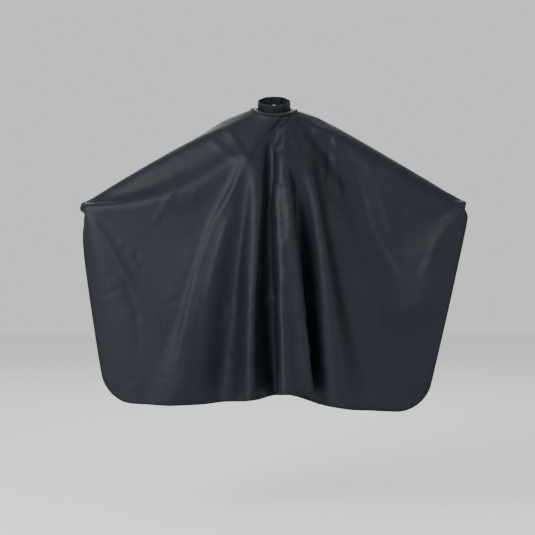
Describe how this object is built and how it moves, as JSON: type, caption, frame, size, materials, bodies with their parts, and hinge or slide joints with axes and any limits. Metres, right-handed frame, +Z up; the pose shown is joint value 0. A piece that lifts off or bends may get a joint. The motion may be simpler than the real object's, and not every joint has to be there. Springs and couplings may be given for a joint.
{
  "type": "barber cape",
  "caption": "Wide nylon cutting cape as worn over spread arms, with a tilted neckband that snaps shut at the back and open back flaps.",
  "frame": {"origin": "centre of the seam ring where the neckband meets the cloth, inside the neck opening", "axes": "+Z up, -Y the wearer's front, +X to the right seen from the front; the ring is tilted 20 degrees about X, front lower"},
  "size_m": [1.3244, 0.4586, 1.0931],
  "materials": {
    "nylon": "black woven nylon taffeta with a soft sheen",
    "hem": "the same nylon, turned over twice and stitched",
    "band": "folded nylon strip over stiffener",
    "stiffener": "non-woven interlining",
    "snap": "satin black moulded plastic",
    "label": "blank woven satin label"
  },
  "bodies": {
    "root": {"cape_front": "nylon", "cape_back_left": "nylon", "cape_back_right": "nylon", "hem_front": "hem", "hem_side_left": "hem", "hem_side_right": "hem", "hem_flap_left": "hem", "hem_flap_right": "hem", "hem_slit_left": "hem", "hem_slit_right": "hem", "hem_back_left": "hem", "hem_back_right": "hem", "care_label": "label", "neck_band": "band", "band_stiffener": "stiffener", "stud_1": "snap", "stud_2": "snap", "stud_3": "snap", "stud_4": "snap", "stud_5": "snap", "stud_cap_1": "snap", "stud_cap_2": "snap", "stud_cap_3": "snap", "stud_cap_4": "snap", "stud_cap_5": "snap"},
    "closing_tab": {"tab": "band", "tab_stiffener": "stiffener", "socket_1": "snap", "socket_2": "snap", "tab_cap_1": "snap", "tab_cap_2": "snap"}
  },
  "joints": [
    {"name": "tab_peel", "type": "hinge", "parent": "root", "child": "closing_tab", "pos_m": [0.0336, 0.04574, 0.03155], "axis": [0, 0.342, -0.9397], "range_deg": [0, 100]}
  ]
}
